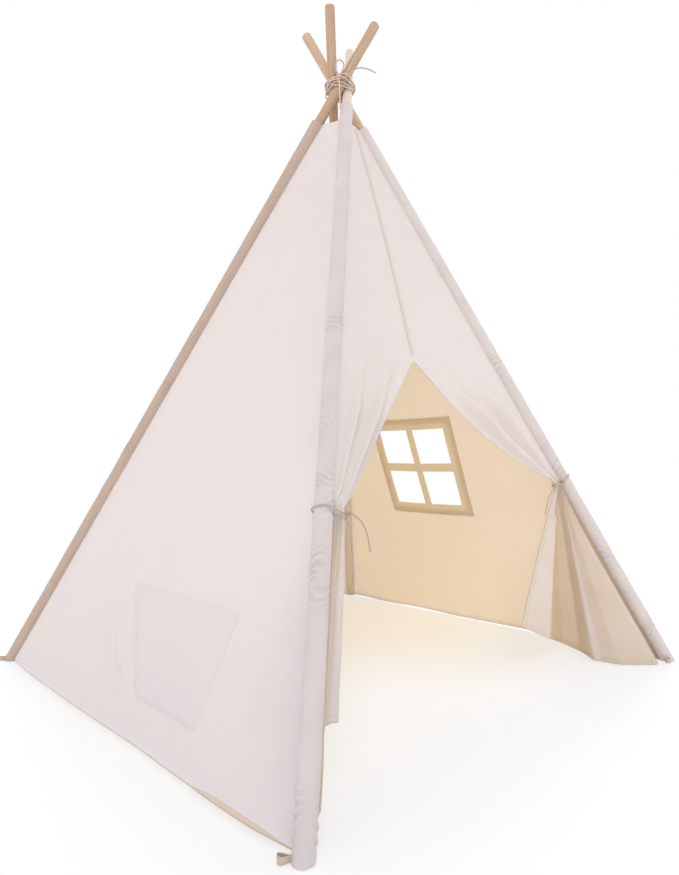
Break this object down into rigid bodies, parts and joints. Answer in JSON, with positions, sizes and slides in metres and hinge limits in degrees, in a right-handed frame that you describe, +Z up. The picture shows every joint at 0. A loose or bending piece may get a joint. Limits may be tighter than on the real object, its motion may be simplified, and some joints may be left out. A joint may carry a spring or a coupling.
{
  "type": "kids teepee",
  "caption": "Children's pyramid play tent: crossed, lashed dowel poles in sewn sleeves, cloth walls, a tied-back curtain door, a barred window and an inside pocket.",
  "frame": {"origin": "on the floor, midway between the feet of the poles", "axes": "+Z up, -Y out through the door, +X to the right of someone looking in at the door"},
  "size_m": [1.2722, 1.2722, 1.6718],
  "materials": {
    "dowel": "natural, unvarnished, fine straight grain",
    "ferrule": "plain drawn tube",
    "canvas": "plain-woven cotton canvas, matt",
    "sleeve": "plain-woven cotton canvas, two layers, matt",
    "tape": "woven cotton tape, matt",
    "cord": "twisted cotton cord, matt"
  },
  "bodies": {
    "back_right_frame": {"back_right_pole_section_1": "dowel", "back_right_pole_section_2": "dowel", "back_right_pole_section_3": "dowel", "back_right_pole_section_4": "dowel", "back_right_ferrule_1": "ferrule", "back_right_ferrule_2": "ferrule", "back_right_ferrule_3": "ferrule", "back_right_sleeve": "sleeve", "back_right_corner_tab": "tape", "back_wall": "canvas", "lashing_winding": "cord", "lashing_knot": "cord", "lashing_bow": "cord", "lashing_end_1": "cord", "lashing_end_2": "cord"},
    "back_left_frame": {"back_left_pole_section_1": "dowel", "back_left_pole_section_2": "dowel", "back_left_pole_section_3": "dowel", "back_left_pole_section_4": "dowel", "back_left_ferrule_1": "ferrule", "back_left_ferrule_2": "ferrule", "back_left_ferrule_3": "ferrule", "back_left_sleeve": "sleeve", "back_left_corner_tab": "tape", "left_wall": "canvas", "inside_pocket": "canvas"},
    "front_right_frame": {"front_right_pole_section_1": "dowel", "front_right_pole_section_2": "dowel", "front_right_pole_section_3": "dowel", "front_right_pole_section_4": "dowel", "front_right_ferrule_1": "ferrule", "front_right_ferrule_2": "ferrule", "front_right_ferrule_3": "ferrule", "front_right_sleeve": "sleeve", "front_right_corner_tab": "tape", "right_wall": "canvas", "window_frame": "tape", "front_panel_right": "canvas", "door_seam_tape": "tape", "tieback_right": "cord", "tieback_right_knot": "cord", "tieback_right_end_1": "cord", "tieback_right_end_2": "cord", "tieback_right_end_3": "cord"},
    "front_left_frame": {"front_left_pole_section_1": "dowel", "front_left_pole_section_2": "dowel", "front_left_pole_section_3": "dowel", "front_left_pole_section_4": "dowel", "front_left_ferrule_1": "ferrule", "front_left_ferrule_2": "ferrule", "front_left_ferrule_3": "ferrule", "front_left_sleeve": "sleeve", "front_left_corner_tab": "tape", "front_panel_left": "canvas", "tieback_left": "cord", "tieback_left_knot": "cord", "tieback_left_end_1": "cord", "tieback_left_end_2": "cord"},
    "left_curtain": {"door_curtain_left": "canvas"},
    "right_curtain": {"door_curtain_right": "canvas"}
  },
  "joints": [
    {"name": "back_fold", "type": "hinge", "parent": "back_right_frame", "child": "back_left_frame", "pos_m": [-0.01586, 0.00037, 1.49919], "axis": [-0.0216, -0.9282, -0.3715], "range_deg": [0, 28], "deforming": ["back_wall", "lashing_winding", "lashing_knot", "lashing_bow", "lashing_end_1", "lashing_end_2"]},
    {"name": "right_fold", "type": "hinge", "parent": "back_right_frame", "child": "front_right_frame", "pos_m": [0.00037, 0.01586, 1.49919], "axis": [0.9282, -0.0216, 0.3715], "range_deg": [0, 28], "deforming": ["right_wall", "window_frame", "front_panel_right", "door_seam_tape", "tieback_right", "tieback_right_knot", "tieback_right_end_1", "tieback_right_end_2", "tieback_right_end_3"]},
    {"name": "left_fold", "type": "hinge", "parent": "back_left_frame", "child": "front_left_frame", "pos_m": [-0.00037, -0.01586, 1.49919], "axis": [0.9282, -0.0216, -0.3715], "range_deg": [0, 28], "deforming": ["left_wall", "inside_pocket", "front_panel_left", "tieback_left", "tieback_left_knot", "tieback_left_end_1", "tieback_left_end_2"]},
    {"name": "left_curtain_swing", "type": "hinge", "parent": "front_left_frame", "child": "left_curtain", "pos_m": [-0.42474, -0.4327, 0.4282], "axis": [-1, 0, 0], "range_deg": [0, 25], "deforming": ["door_curtain_left"]},
    {"name": "right_curtain_swing", "type": "hinge", "parent": "front_right_frame", "child": "right_curtain", "pos_m": [0.41706, -0.40835, 0.46824], "axis": [-1, 0, 0], "range_deg": [0, 25], "deforming": ["door_curtain_right"]}
  ],
  "couplings": [
    {"joint": "right_fold", "follows": "back_fold", "ratio": 1},
    {"joint": "left_fold", "follows": "back_fold", "ratio": 1}
  ]
}
